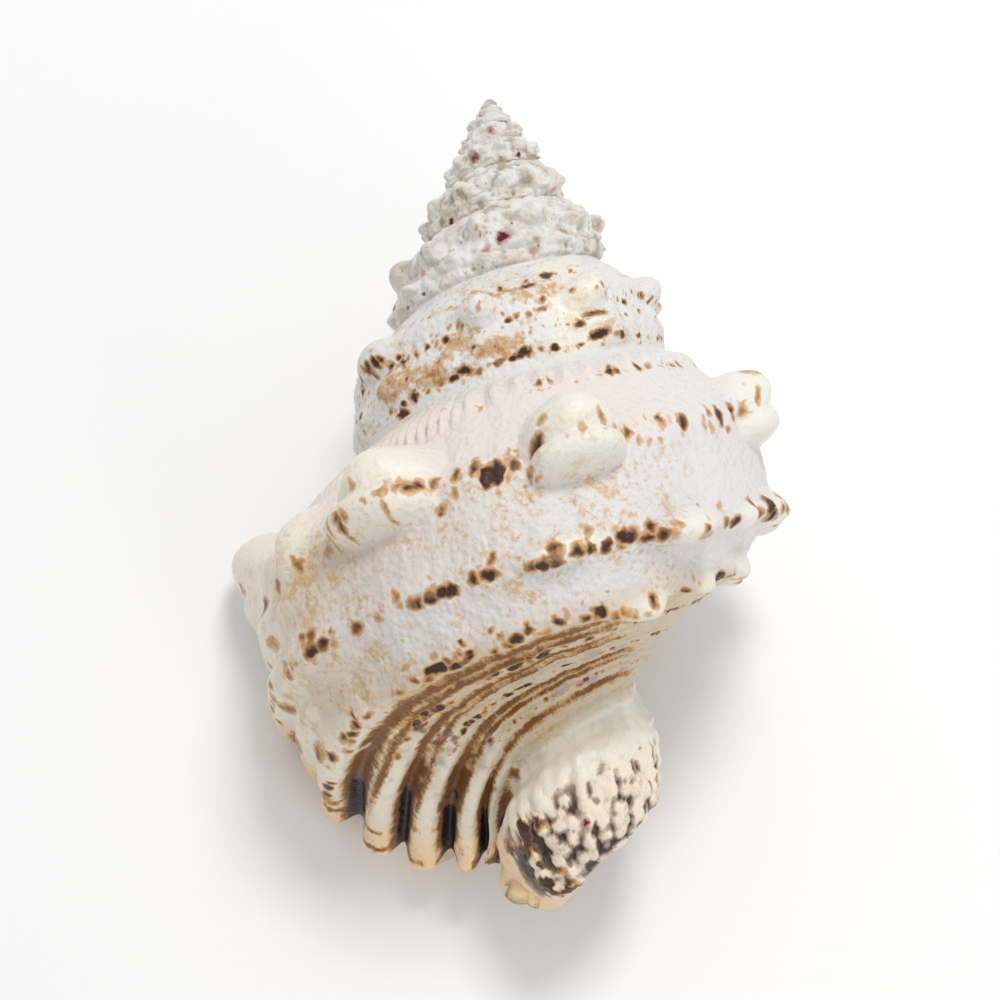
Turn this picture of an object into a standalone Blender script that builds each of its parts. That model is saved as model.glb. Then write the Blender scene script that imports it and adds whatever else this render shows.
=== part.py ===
"""A giant frog shell, lying on its aperture as a collector would set it down.

The shell is one grown piece, so it is one solid. It is built the way the animal builds it: one
section, from the suture down to the canal, turns about the coiling axis and grows by the same
factor every turn. Where two turns meet, the suture, they share their points. Over the last turn the
section changes as it flares into the outer lip, so the surface is a loft between unlike sections,
and a hollow of the same spiral runs back from the aperture.

In the shell's own frame the apex is the origin, r is the distance from the coiling axis and h the
distance down it. The angle psi is 0 on the back, above the axis, and grows towards the right.
Lengths are in millimetres and at full size, as they are at the lip, until they are placed.
"""

import math

import bmesh
import bpy
import numpy as np
from mathutils import Matrix

MM = 0.001

# Growth of the spiral
WHORLS = 8.5
EXPANSION = 1.532
LIP_ANGLE = math.radians(-112)
STEPS = 128
STEPS_PER_STATION = 6

# Stations along the section: 0 is the suture, 2 the shoulder with the first row of knobs, 4 and 6
# the next two rows, 8 to 14 the cords below them, and 16 the ridge round the canal
NEXT_SUTURE = 5
LAST_CORD = 14
AXIS = 19

# The section (r, h) at each station, by turns back from the lip. Behind the first whole turn it
# stays the same, and its sixth point is its first times EXPANSION, where the next turn sits on it.
SUTURE = (40.6, 86.0)
SECTIONS = {
    0.00: [SUTURE, (60.0, 90.0), (73.5, 98.5), (72.0, 112.0), (69.0, 127.0), (65.5, 138.5), (61.0, 148.5),
           (57.0, 154.5), (52.5, 159.0), (47.5, 162.3), (42.0, 165.0), (37.0, 166.6), (32.0, 167.6),
           (28.0, 168.3), (24.5, 169.5), (22.0, 173.5), (21.0, 178.0), (17.5, 181.5), (12.5, 182.5),
           (0.0, 174.0)],
    0.12: [SUTURE, (50.5, 96.0), (63.0, 109.5), (65.5, 121.0), (64.0, 132.0), (61.5, 141.5), (57.0, 149.0),
           (50.5, 152.7), (44.0, 154.6), (38.5, 156.0), (33.5, 157.3), (30.0, 159.3), (26.5, 161.3),
           (24.0, 163.0), (21.8, 164.8), (19.8, 168.5), (22.5, 175.0), (21.0, 186.5), (14.0, 193.0),
           (0.0, 184.0)],
    0.30: [SUTURE, (50.5, 96.5), (59.1, 112.0), (61.8, 124.0), (61.7, 135.5), (58.5, 143.0), (53.7, 149.5),
           (47.0, 152.0), (40.0, 153.6), (35.0, 155.0), (31.0, 156.6), (28.0, 158.5), (25.0, 160.8),
           (22.0, 163.0), (19.3, 165.8), (17.5, 171.0), (20.0, 178.5), (20.5, 190.5), (14.0, 200.0),
           (0.0, 191.0)],
    0.56: [SUTURE, (50.0, 95.0), (56.7, 105.5), (58.3, 121.5), (57.0, 136.0), (51.5, 143.0), (44.5, 149.0),
           (37.0, 153.5), (31.0, 158.0), (26.0, 161.2), (22.0, 164.2), (19.0, 166.8), (16.3, 169.5),
           (14.0, 172.3), (12.3, 175.8), (11.4, 181.5), (12.5, 189.0), (14.6, 197.5), (12.6, 206.0),
           (0.0, 197.0)],
    1.00: [SUTURE, (49.0, 93.5), (57.8, 103.5), (60.6, 113.0), (61.8, 123.0),
           (SUTURE[0] * EXPANSION, SUTURE[1] * EXPANSION), (56.0, 147.0), (50.5, 152.5), (45.0, 157.0),
           (39.5, 161.0), (34.5, 165.0), (30.0, 168.5), (26.0, 172.0), (22.5, 175.5), (19.0, 179.5),
           (16.5, 184.5), (18.0, 190.5), (17.0, 198.0), (11.0, 203.0), (0.0, 192.0)],
}

# The spire leans a little to the left of the body's axis, between these distances down it
SPIRE_LEAN = 2.5
LEAN_FROM = 50.0
LEAN_TO = 100.0
LEAN_OVER = 30.0

# How it rests, on its lip and two knobs of its last turn: degrees about the axis, then about X
REST_ROLL = -4.45
REST_PITCH = 9.95

# The apex is a blunt point, this far up the first turn
APEX_HEIGHT = 0.4

# The triangles of the finished solid, and its finish
TRIANGLES = 9600
SHELL_COLOUR = (0.78, 0.70, 0.58, 1.0)
SHELL_ROUGHNESS = 0.35

# The hollow: the wall that is left outside it, how far it reaches back, and its inner sides
HOLLOW_TURNS = 2.1
HOLLOW_STEP = 4
WALL = 4.2
LIP_WALL = 5.5
CANAL_WALL = 3.2
CANAL_WALL_OVER = 2.0
HOLLOW_TOP = 0.9
HOLLOW_FOOT_AT_LIP = 17.3
HOLLOW_FOOT = 12.5
FOOT_RISE = 0.16
COLUMELLA = [(12.0, 164.0), (10.0, 152.0), (10.5, 141.0), (13.0, 131.0)]
PARIETAL = [(13.0, 131.0), (16.5, 120.5), (22.0, 112.5), (29.5, 106.5), (37.0, 100.5), (43.0, 95.5)]

# Blunt knobs: turns back from the lip, station, height, reach along the turn, reach across
KNOBS = [
    (0.005, 1.85, 4.0, 0.050, 0.60),
    (0.010, 2.60, 3.0, 0.045, 0.45),
    (0.203, 1.75, 11.5, 0.042, 0.85),
    (0.325, 1.85, 12.0, 0.036, 0.80),
    (0.511, 1.95, 9.5, 0.042, 0.85),
    (0.670, 2.00, 9.0, 0.045, 0.85),
    (0.800, 2.00, 8.0, 0.045, 0.85),
    (0.310, 3.95, 2.5, 0.034, 0.50),
    (0.395, 4.05, 5.0, 0.036, 0.60),
    (0.500, 3.95, 3.5, 0.034, 0.60),
    (0.600, 4.00, 4.0, 0.036, 0.60),
    (0.735, 4.00, 7.0, 0.038, 0.60),
    (0.355, 6.10, 3.5, 0.036, 0.70),
    (0.470, 5.70, 3.0, 0.034, 0.70),
    (0.580, 6.00, 3.5, 0.036, 0.70),
    (0.690, 6.00, 3.5, 0.036, 0.70),
]
SPIRE_KNOBS_PER_TURN = 8
FIRST_SPIRE_KNOB = 1.13
SPIRE_KNOB = (2.1, 6.0, 0.055, 1.1)
KNOB_FALL = 1.5

# Spiral cords: station, height, more height at the lip, half width in stations
CORDS = [
    (2, 1.6, 0.0, 0.50),
    (4, 1.6, 1.6, 0.38),
    (5, 0.0, 2.0, 0.30),
    (6, 1.5, 2.6, 0.50),
    (8, 1.3, 3.2, 0.62),
    (10, 1.3, 3.4, 0.62),
    (12, 1.2, 2.8, 0.60),
    (14, 1.0, 1.2, 0.45),
    (16, 1.6, 0.6, 0.70),
]
LIP_FLUTE_REACH = 0.12

# Where the relief dies out: from the suture, before the axis, and on the inner lip, which is smooth
SUTURE_FADE = 0.6
AXIS_FADE = 2.0
INNER_LIP_FROM = 0.84
INNER_LIP_OVER = 0.12

# Varices, the swollen old lips: turns back from the lip, height and half width in turns
VARICES = [0.0, 0.589, 0.978, 1.405, 1.85, 2.30, 2.76]
VARIX_HEIGHT = 2.6
VARIX_WIDTH = 0.022


def smoothstep(x):
    x = np.clip(x, 0.0, 1.0)
    return x * x * (3.0 - 2.0 * x)


def spline(points, at):
    """Points of a Catmull-Rom curve through points, at each station number of at."""
    p = np.array(points, float)
    p = np.vstack([2 * p[0] - p[1], p, 2 * p[-1] - p[-2]])
    at = np.clip(np.asarray(at, float), 0.0, len(points) - 1.0)
    k = np.minimum(at.astype(int), len(points) - 2)
    u = (at - k)[..., None]
    a, b, c, d = p[k], p[k + 1], p[k + 2], p[k + 3]
    return 0.5 * (2 * b + (c - a) * u + (2 * a - 5 * b + 4 * c - d) * u**2 + (3 * b - a - 3 * c + d) * u**3)


def section(back, station):
    """The section's (r, h) at a number of turns back from the lip, from the keyed sections."""
    keys = sorted(SECTIONS)
    curves = [spline(SECTIONS[key], station) for key in keys]
    slopes = [(curves[1] - curves[0]) / (keys[1] - keys[0])]
    for k in range(1, len(keys) - 1):
        near, far = keys[k] - keys[k - 1], keys[k + 1] - keys[k]
        rise = (curves[k] - curves[k - 1]) / near * far + (curves[k + 1] - curves[k]) / far * near
        slopes.append(rise / (near + far))
    slopes.append(np.zeros_like(curves[0]))
    result = curves[-1].copy()
    for k in range(len(keys) - 1):
        span = keys[k + 1] - keys[k]
        u = np.clip((back - keys[k]) / span, 0.0, 1.0)[..., None]
        bend = (1 + 2 * u) * (1 - u)**2 * curves[k] + u * (1 - u)**2 * span * slopes[k]
        bend = bend + u**2 * (3 - 2 * u) * curves[k + 1] + u**2 * (u - 1) * span * slopes[k + 1]
        inside = ((back >= keys[k]) & (back < keys[k + 1]))[..., None]
        result = np.where(inside, bend, result)
    return result


def placed(section_points, back):
    """Shell frame, metres: +X to the right of the back view, +Y to the apex, +Z out of the back."""
    psi = LIP_ANGLE + 2 * math.pi * back
    r, h = np.moveaxis(section_points * (EXPANSION ** -back)[..., None], -1, 0)
    lean = SPIRE_LEAN * smoothstep(h / LEAN_FROM) * smoothstep((LEAN_TO - h) / LEAN_OVER)
    return np.stack([r * np.sin(psi) - lean, -h, r * np.cos(psi)], axis=-1) * MM


def smooth_surface(back, station):
    return placed(section(back, station), back)


def outward(back, station):
    step = 1e-3
    down = smooth_surface(back, station + step) - smooth_surface(back, station - step)
    behind = smooth_surface(back + step, station) - smooth_surface(back - step, station)
    normal = np.cross(down, behind)
    return normal / np.maximum(np.linalg.norm(normal, axis=-1, keepdims=True), 1e-12)


def knob(back, station, place, row, height, along, across):
    distance = ((back - place) / along) ** 2 + ((station - row) / across) ** 2
    return height * np.clip(1.0 - distance, 0.0, 1.0) ** KNOB_FALL


def relief(back, station):
    """Height of the knobs, cords and varices over the smooth surface, at full size."""
    lip = np.exp(-(back / LIP_FLUTE_REACH) ** 2)
    height = np.zeros_like(back)
    for row, plain, more, width in CORDS:
        height += (plain + more * lip) * np.exp(-((station - row) / width) ** 2)
    for place in VARICES:
        height += VARIX_HEIGHT * np.exp(-((back - place) / VARIX_WIDTH) ** 2)
    for place, row, size, along, across in KNOBS:
        height = height + knob(back, station, place, row, size, along, across)
    row, size, along, across = SPIRE_KNOB
    for count in range(int(SPIRE_KNOBS_PER_TURN * (WHORLS - FIRST_SPIRE_KNOB))):
        place = FIRST_SPIRE_KNOB + count / SPIRE_KNOBS_PER_TURN
        height = height + knob(back, station, place, row, size, along, across)
    height *= smoothstep(station / SUTURE_FADE) * smoothstep((AXIS - station) / AXIS_FADE)
    inner_lip = smoothstep((back - INNER_LIP_FROM) / INNER_LIP_OVER)
    height *= 1.0 - inner_lip * smoothstep((station - NEXT_SUTURE + SUTURE_FADE) / SUTURE_FADE)
    return height


def surface(back, station):
    back, station = np.broadcast_arrays(np.asarray(back, float), np.asarray(station, float))
    size = (EXPANSION ** -back * MM * relief(back, station))[..., None]
    return smooth_surface(back, station) + outward(back, station) * size


def hollow_loop(back, outer_count, columella_count, parietal_count):
    """One section of the hollow: down inside the outer wall, up the columella, up the parietal wall."""
    lip = 1.0 - smoothstep(back / FOOT_RISE)
    foot = HOLLOW_FOOT + (HOLLOW_FOOT_AT_LIP - HOLLOW_FOOT) * lip
    station = np.linspace(HOLLOW_TOP, foot, outer_count)
    turns = np.full(outer_count, back)
    line = section(turns, station)
    step = 0.01
    down = section(turns, station + step) - section(turns, station - step)
    normal = np.stack([down[:, 1], -down[:, 0]], axis=-1)
    normal /= np.linalg.norm(normal, axis=-1, keepdims=True)
    wall = WALL + (LIP_WALL - WALL) * lip
    wall = wall + (CANAL_WALL - wall) * smoothstep((station - LAST_CORD) / CANAL_WALL_OVER)
    outer = line - normal * wall[:, None]
    columella = spline([outer[-1]] + COLUMELLA, np.linspace(0, len(COLUMELLA), columella_count + 1)[1:])
    parietal = spline(PARIETAL + [outer[0]], np.linspace(0, len(PARIETAL), parietal_count + 2)[1:-1])
    loop = np.vstack([outer, columella, parietal])
    return placed(loop, np.full(len(loop), back))


def shell_points():
    """Points and faces of the closed shell."""
    points, faces = [], []

    def add(rows):
        first = len(points)
        points.extend(rows)
        return list(range(first, len(points)))

    total = int(WHORLS * STEPS)
    last_turn = total - STEPS
    suture = NEXT_SUTURE * STEPS_PER_STATION
    end = AXIS * STEPS_PER_STATION
    columns = []
    for i in range(total + 1):
        stations = np.arange((end if i >= last_turn else suture) + 1) / STEPS_PER_STATION
        column = surface((total - i) / STEPS, stations)
        if i >= last_turn:
            column[-1, 0] = column[-1, 2] = 0.0
        if i >= STEPS:
            ids = [columns[i - STEPS][suture]] + add(column[1:])
        else:
            ids = add(column)
        columns.append(ids)
    for a, b in zip(columns, columns[1:]):
        for j in range(min(len(a), len(b)) - 1):
            faces.append((a[j], a[j + 1], b[j + 1], b[j]))

    # The apex: the first turn's upper edge and its start close on one point
    tip = add([np.array([0.0, -APEX_HEIGHT * SUTURE[1] * MM * EXPANSION ** -WHORLS, 0.0])])[0]
    edge = [columns[i][0] for i in range(STEPS + 1)] + columns[0][suture:0:-1][1:]
    for a, b in zip(edge, edge[1:] + edge[:1]):
        faces.append((a, b, tip))

    # The aperture's edge: the outer lip, the axis line under the columella, the inner lip
    outer = columns[total][: end + 1]
    axis = [columns[i][end] for i in range(total - 1, last_turn - 1, -1)]
    inner = columns[last_turn][end - 1 : suture : -1]
    rings = [outer + axis + inner]
    for i in range(0, int(HOLLOW_TURNS * STEPS) + 1, HOLLOW_STEP):
        rings.append(add(hollow_loop(i / STEPS, len(outer), len(axis), len(inner))))
    for near, far in zip(rings, rings[1:]):
        for k in range(len(near)):
            m = (k + 1) % len(near)
            faces.append((near[k], near[m], far[m], far[k]))
    back_wall = add([np.mean([points[k] for k in rings[-1]], axis=0)])[0]
    for a, b in zip(rings[-1], rings[-1][1:] + rings[-1][:1]):
        faces.append((a, b, back_wall))
    return points, faces


def shell_material():
    """Polished-looking calcium carbonate, creamy white on average."""
    material = bpy.data.materials.new("shell")
    material.use_nodes = True
    finish = material.node_tree.nodes["Principled BSDF"]
    finish.inputs["Base Color"].default_value = SHELL_COLOUR
    finish.inputs["Roughness"].default_value = SHELL_ROUGHNESS
    finish.inputs["Metallic"].default_value = 0.0
    return material


def closed_mesh(points, faces):
    """A mesh of the points and faces, with its faces pointing out."""
    mesh = bpy.data.meshes.new("shell")
    mesh.from_pydata([tuple(point) for point in points], [], faces)
    shape = bmesh.new()
    shape.from_mesh(mesh)
    bmesh.ops.recalc_face_normals(shape, faces=shape.faces)
    shape.to_mesh(mesh)
    shape.free()
    return mesh


def set_down(shell):
    """Puts the bottom centre of the finished shell's box at the origin."""
    finished = shell.evaluated_get(bpy.context.evaluated_depsgraph_get())
    corners = np.array([tuple(corner) for corner in finished.bound_box])
    low, high = corners.min(axis=0), corners.max(axis=0)
    middle = (low + high) / 2
    shell.location = (-middle[0], -middle[1], -low[2])


def main():
    for old in list(bpy.data.objects):
        bpy.data.objects.remove(old)
    mesh = closed_mesh(*shell_points())
    roll = Matrix.Rotation(math.radians(REST_ROLL), 4, "Y")
    mesh.transform(Matrix.Rotation(math.radians(REST_PITCH), 4, "X") @ roll)
    mesh.materials.append(shell_material())
    mesh.shade_smooth()
    shell = bpy.data.objects.new("shell", mesh)
    collection = bpy.data.collections.new("frog_shell")
    bpy.context.scene.collection.children.link(collection)
    collection.objects.link(shell)
    # Fewer triangles, most of them where the surface bends most
    decimate = shell.modifiers.new("Decimate", "DECIMATE")
    decimate.ratio = TRIANGLES / sum(len(face.vertices) - 2 for face in mesh.polygons)
    decimate.use_collapse_triangulate = True
    set_down(shell)


main()
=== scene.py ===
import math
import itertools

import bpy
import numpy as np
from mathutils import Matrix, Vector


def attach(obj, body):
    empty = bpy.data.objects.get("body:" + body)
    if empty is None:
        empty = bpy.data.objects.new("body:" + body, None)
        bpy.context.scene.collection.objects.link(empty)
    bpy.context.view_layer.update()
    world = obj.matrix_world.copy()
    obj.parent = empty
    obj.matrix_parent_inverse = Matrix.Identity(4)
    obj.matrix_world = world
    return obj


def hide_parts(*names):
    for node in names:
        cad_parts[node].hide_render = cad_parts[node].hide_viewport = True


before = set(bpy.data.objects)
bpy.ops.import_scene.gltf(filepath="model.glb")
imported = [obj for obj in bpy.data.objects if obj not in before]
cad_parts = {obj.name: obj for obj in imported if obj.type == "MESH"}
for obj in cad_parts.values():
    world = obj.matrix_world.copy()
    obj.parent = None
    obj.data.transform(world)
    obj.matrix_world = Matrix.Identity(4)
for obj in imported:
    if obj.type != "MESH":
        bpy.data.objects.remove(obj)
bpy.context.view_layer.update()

# %% [markdown]
# # A frog shell, lying on its aperture
#
# A sea snail builds its shell at the lip only, so the whole shell is one section that turns about
# an axis and grows by the same factor every turn. That makes it a good subject for a sheet that is
# bent by formula: a flat grid gets one direction that runs round the turns and one that runs across
# them, and every knob, cord and bead is then a height over that sheet. The frame holds the same
# shell as a plain solid. Here it gets its fine surface and its colours.

MM = 0.001

# %% [markdown]
# ## The growth of the spiral
#
# Two numbers place any point of the surface. The first is how many turns back from the lip it is,
# and the second is its station, which counts from the suture at 0, over the shoulder at 2, to the
# canal at 17 and the axis at 19. Five sections are enough, because the lip flares in the last
# turn only. They are the ones that the plain solid has, so that both have the same form.

# %% The spiral and its sections, in millimetres at the lip's size
WHORLS = 10.0
EXPANSION = 1.532
LIP_ANGLE = math.radians(-112)
NEXT_SUTURE = 5
LAST_CORD = 14
AXIS = 19
SUTURE = (40.6, 86.0)
SECTIONS = {
    0.00: [SUTURE, (60.0, 90.0), (73.5, 98.5), (72.0, 112.0), (69.0, 127.0), (65.5, 138.5), (61.0, 148.5),
           (57.0, 154.5), (52.5, 159.0), (47.5, 162.3), (42.0, 165.0), (37.0, 166.6), (32.0, 167.6),
           (28.0, 168.3), (24.5, 169.5), (22.0, 173.5), (21.0, 178.0), (17.5, 181.5), (12.5, 182.5),
           (0.0, 174.0)],
    0.12: [SUTURE, (50.5, 96.0), (63.0, 109.5), (65.5, 121.0), (64.0, 132.0), (61.5, 141.5), (57.0, 149.0),
           (50.5, 152.7), (44.0, 154.6), (38.5, 156.0), (33.5, 157.3), (30.0, 159.3), (26.5, 161.3),
           (24.0, 163.0), (21.8, 164.8), (19.8, 168.5), (22.5, 175.0), (21.0, 186.5), (14.0, 193.0),
           (0.0, 184.0)],
    0.30: [SUTURE, (50.5, 96.5), (59.1, 112.0), (61.8, 124.0), (61.7, 135.5), (58.5, 143.0), (53.7, 149.5),
           (47.0, 152.0), (40.0, 153.6), (35.0, 155.0), (31.0, 156.6), (28.0, 158.5), (25.0, 160.8),
           (22.0, 163.0), (19.3, 165.8), (17.5, 171.0), (20.0, 178.5), (20.5, 190.5), (14.0, 200.0),
           (0.0, 191.0)],
    0.56: [SUTURE, (50.0, 95.0), (56.7, 105.5), (58.3, 121.5), (57.0, 136.0), (51.5, 143.0), (44.5, 149.0),
           (37.0, 153.5), (31.0, 158.0), (26.0, 161.2), (22.0, 164.2), (19.0, 166.8), (16.3, 169.5),
           (14.0, 172.3), (12.3, 175.8), (11.4, 181.5), (12.5, 189.0), (14.6, 197.5), (12.6, 206.0),
           (0.0, 197.0)],
    1.00: [SUTURE, (49.0, 93.5), (57.8, 103.5), (60.6, 113.0), (61.8, 123.0),
           (SUTURE[0] * EXPANSION, SUTURE[1] * EXPANSION), (56.0, 147.0), (50.5, 152.5), (45.0, 157.0),
           (39.5, 161.0), (34.5, 165.0), (30.0, 168.5), (26.0, 172.0), (22.5, 175.5), (19.0, 179.5),
           (16.5, 184.5), (18.0, 190.5), (17.0, 198.0), (11.0, 203.0), (0.0, 192.0)],
}
print("sections keyed at", sorted(SECTIONS), "turns back")

# %% [markdown]
# Between the keyed sections a smooth blend runs along the turns, and a Catmull-Rom curve runs through
# the stations of each section. The real spire also leans a little, which a small sideways shift gives.

# %% From sections to a surface
SPIRE_LEAN = 2.5
LEAN_FROM = 50.0
LEAN_TO = 100.0
LEAN_OVER = 30.0


def smoothstep(x):
    x = np.clip(x, 0.0, 1.0)
    return x * x * (3.0 - 2.0 * x)


def spline(points, at):
    """Points of a Catmull-Rom curve through points, at each station number of at."""
    p = np.array(points, float)
    p = np.vstack([2 * p[0] - p[1], p, 2 * p[-1] - p[-2]])
    at = np.clip(np.asarray(at, float), 0.0, len(points) - 1.0)
    k = np.minimum(at.astype(int), len(points) - 2)
    u = (at - k)[..., None]
    a, b, c, d = p[k], p[k + 1], p[k + 2], p[k + 3]
    return 0.5 * (2 * b + (c - a) * u + (2 * a - 5 * b + 4 * c - d) * u**2 + (3 * b - a - 3 * c + d) * u**3)


def section(back, station):
    """The section's (r, h) at a number of turns back from the lip, from the keyed sections."""
    keys = sorted(SECTIONS)
    curves = [spline(SECTIONS[key], station) for key in keys]
    slopes = [(curves[1] - curves[0]) / (keys[1] - keys[0])]
    for k in range(1, len(keys) - 1):
        near, far = keys[k] - keys[k - 1], keys[k + 1] - keys[k]
        rise = (curves[k] - curves[k - 1]) / near * far + (curves[k + 1] - curves[k]) / far * near
        slopes.append(rise / (near + far))
    slopes.append(np.zeros_like(curves[0]))
    result = curves[-1].copy()
    for k in range(len(keys) - 1):
        span = keys[k + 1] - keys[k]
        u = np.clip((back - keys[k]) / span, 0.0, 1.0)[..., None]
        bend = (1 + 2 * u) * (1 - u)**2 * curves[k] + u * (1 - u)**2 * span * slopes[k]
        bend = bend + u**2 * (3 - 2 * u) * curves[k + 1] + u**2 * (u - 1) * span * slopes[k + 1]
        inside = ((back >= keys[k]) & (back < keys[k + 1]))[..., None]
        result = np.where(inside, bend, result)
    return result


def placed(section_points, back):
    """Own frame, mm: +X to the right of the back view, +Y to the apex, +Z out of the back."""
    psi = LIP_ANGLE + 2 * math.pi * back
    r, h = np.moveaxis(section_points * (EXPANSION ** -back)[..., None], -1, 0)
    lean = SPIRE_LEAN * smoothstep(h / LEAN_FROM) * smoothstep((LEAN_TO - h) / LEAN_OVER)
    return np.stack([r * np.sin(psi) - lean, -h, r * np.cos(psi)], axis=-1)


def smooth_surface(back, station):
    return placed(section(back, station), back)


def outward(back, station):
    step = 1e-3
    down = smooth_surface(back, station + step) - smooth_surface(back, station - step)
    behind = smooth_surface(back + step, station) - smooth_surface(back - step, station)
    normal = np.cross(down, behind)
    return normal / np.maximum(np.linalg.norm(normal, axis=-1, keepdims=True), 1e-12)


lip_width = 2 * SECTIONS[0.00][2][0]
print("the lip is about", lip_width, "mm across the axis")

# %% [markdown]
# ## How it rests
#
# The animal's axis isn't level when the empty shell lies on a table. It rolls a little onto its lip
# and its nose tips down. Both turns and the apex's place are the plain solid's, so the fine shell
# lies exactly where the checked one does.

# %% The shell's resting place in the room
REST_ROLL = -4.45
REST_PITCH = 9.95
APEX = (0.0119066, 0.0911144, 0.0587182)
resting = (Matrix.Translation(APEX) @ Matrix.Rotation(math.radians(REST_PITCH), 4, "X")
           @ Matrix.Rotation(math.radians(REST_ROLL), 4, "Y"))
print("the apex is", round(1000 * APEX[2], 1), "mm above the table")

# %% [markdown]
# ## Random but repeatable roughness
#
# Old shell is chalky, pitted and grown over. A lattice of seeded random values, blended smoothly
# between its points, gives the same roughness on every run and costs little on half a million points.

# %% Smooth noise
LATTICE = 32


def noise(points, size, seed):
    """Smooth random values from -1 to 1 that change over about size, for an array of 3-D points."""
    lattice = np.random.default_rng(seed).uniform(-1, 1, (LATTICE,) * 3)
    scaled = points / size
    cell = np.floor(scaled).astype(int)
    u = scaled - cell
    u = u * u * (3 - 2 * u)
    total = np.zeros(points.shape[:-1])
    for corner in itertools.product((0, 1), repeat=3):
        weight = np.prod(np.where(corner, u, 1 - u), axis=-1)
        i, j, k = np.moveaxis((cell + corner) % LATTICE, -1, 0)
        total += weight * lattice[i, j, k]
    return total


def pebbles(points, size, seed):
    """Rounded grains from 0 to 1 that lie side by side about size apart, for an array of 3-D points."""
    jitter = np.random.default_rng(seed).uniform(0.15, 0.85, (LATTICE,) * 3 + (3,))
    scaled = points / size
    cell = np.floor(scaled).astype(int)
    nearest = np.full(points.shape[:-1], 9.0)
    for step in itertools.product((-1, 0, 1), repeat=3):
        other = cell + step
        i, j, k = np.moveaxis(other % LATTICE, -1, 0)
        gap = other + jitter[i, j, k] - scaled
        nearest = np.minimum(nearest, np.sum(gap * gap, axis=-1))
    return np.clip(1.0 - 1.6 * nearest, 0.0, 1.0)


one_point = np.array([[1.0, 2.0, 3.0]])
print("noise and grain at one point:", noise(one_point, 4.0, 1).round(3), pebbles(one_point, 4.0, 1).round(3))

# %% [markdown]
# ## The relief
#
# Everything that stands out of the smooth surface is one height, in millimetres at the lip's size:
# the blunt knobs of the shoulder, the spiral cords that turn into flutes at the lip, and the varices,
# which are old lips that the shell grew past. The big knobs are parted by a groove, so each has two
# lobes. A knob is a cap that falls smoothly to nothing, which needs no special mesh.

# %% Where the knobs, cords and varices are
# Turns back, station, height, reach along the turn and across, and the lower lobe's share of the height
KNOBS = [
    (0.010, 1.85, 4.5, 0.048, 0.55, 0.00),
    (0.007, 2.62, 3.2, 0.045, 0.42, 0.00),
    (0.132, 2.10, 2.4, 0.018, 0.70, 0.00),
    (0.203, 1.70, 11.5, 0.040, 0.70, 0.85),
    (0.325, 1.80, 12.2, 0.035, 0.66, 0.93),
    (0.505, 1.90, 9.5, 0.039, 0.68, 0.88),
    (0.670, 1.92, 9.0, 0.044, 0.70, 0.85),
    (0.800, 1.92, 8.0, 0.044, 0.70, 0.85),
]
LOWER_LOBE = 0.52
LOWER_LOBE_ACROSS = 0.52
KNOB_FALL = 1.35
# The same for the smaller knobs of the next two rows, which are steep on their far side
TUBERCLES = [
    (0.310, 3.95, 3.6, 0.026, 0.40),
    (0.392, 4.05, 6.2, 0.030, 0.46),
    (0.452, 4.00, 2.6, 0.020, 0.36),
    (0.502, 3.93, 5.0, 0.028, 0.46),
    (0.600, 4.00, 4.6, 0.034, 0.55),
    (0.735, 4.00, 7.0, 0.036, 0.55),
    (0.362, 6.10, 4.8, 0.030, 0.55),
    (0.420, 5.90, 2.6, 0.020, 0.45),
    (0.472, 5.60, 4.0, 0.026, 0.55),
    (0.580, 6.00, 3.9, 0.034, 0.65),
    (0.690, 6.00, 3.9, 0.034, 0.65),
]
STEEP_SIDE = 0.45
# First and last turn of a row of nodules on the spire, turns between them, station, height, reaches
NODULES = [
    (1.168, 2.00, 0.112, 2.45, 7.6, 0.031, 0.78),
    (1.160, 1.95, 0.112, 3.55, 2.6, 0.026, 0.50),
    (2.02, 6.50, 0.086, 2.45, 9.0, 0.031, 0.85),
    (2.06, 6.00, 0.086, 3.70, 5.6, 0.027, 0.60),
]

# Station at the lip and behind it, height, more height at the lip, half width in stations
CORDS = [
    (2.0, 2.0, 1.5, 0.0, 0.50),
    (3.3, 3.1, 0.0, 2.4, 0.40),
    (4.4, 3.95, 1.6, 3.4, 0.50),
    (5.45, 5.2, 0.0, 3.2, 0.44),
    (6.55, 5.8, 1.5, 4.0, 0.56),
    (8.40, 7.25, 1.0, 4.4, 0.70),
    (10.2, 9.2, 1.0, 4.6, 0.74),
    (12.2, 11.5, 1.0, 4.4, 0.74),
    (14.0, 12.9, 0.9, 2.8, 0.60),
    (16.0, 16.0, 1.6, 0.6, 0.70),
]
CORD_DRIFT_REACH = 0.22
FLUTES_FROM = 0.17
FLUTES_OVER = 0.10
VARICES = [0.0, 0.589, 0.978, 1.405, 1.85, 2.30, 2.76]
VARIX_HEIGHT = 3.0
VARIX_WIDTH = 0.022
OLD_LIP = 0.128
OLD_LIP_HEIGHT = 3.6
SUTURE_FADE = 0.6
AXIS_FADE = 2.0
INNER_LIP_FROM = 0.84
INNER_LIP_OVER = 0.12
print(len(KNOBS) + len(TUBERCLES), "knobs,", len(CORDS), "cords and", len(VARICES), "varices")

# %% [markdown]
# Each kind of relief is a function of the two numbers. A window switches it on between two values and
# lets it fade out softly, so that no kind of relief ends in a step.

# %% Their heights

def window(x, low, high, fade):
    """1 between low and high, falling to 0 over fade on either side."""
    return smoothstep((x - low + fade) / fade) * smoothstep((high + fade - x) / fade)


def cap(back, station, place, row, along, across, steep=0.0):
    """A knob of height 1 that falls to 0 at its reaches."""
    reach = along * np.where(back > place, 1.0 - steep, 1.0 + steep)
    distance = ((back - place) / reach) ** 2 + ((station - row) / across) ** 2
    return np.clip(1.0 - distance, 0.0, 1.0) ** KNOB_FALL


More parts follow.
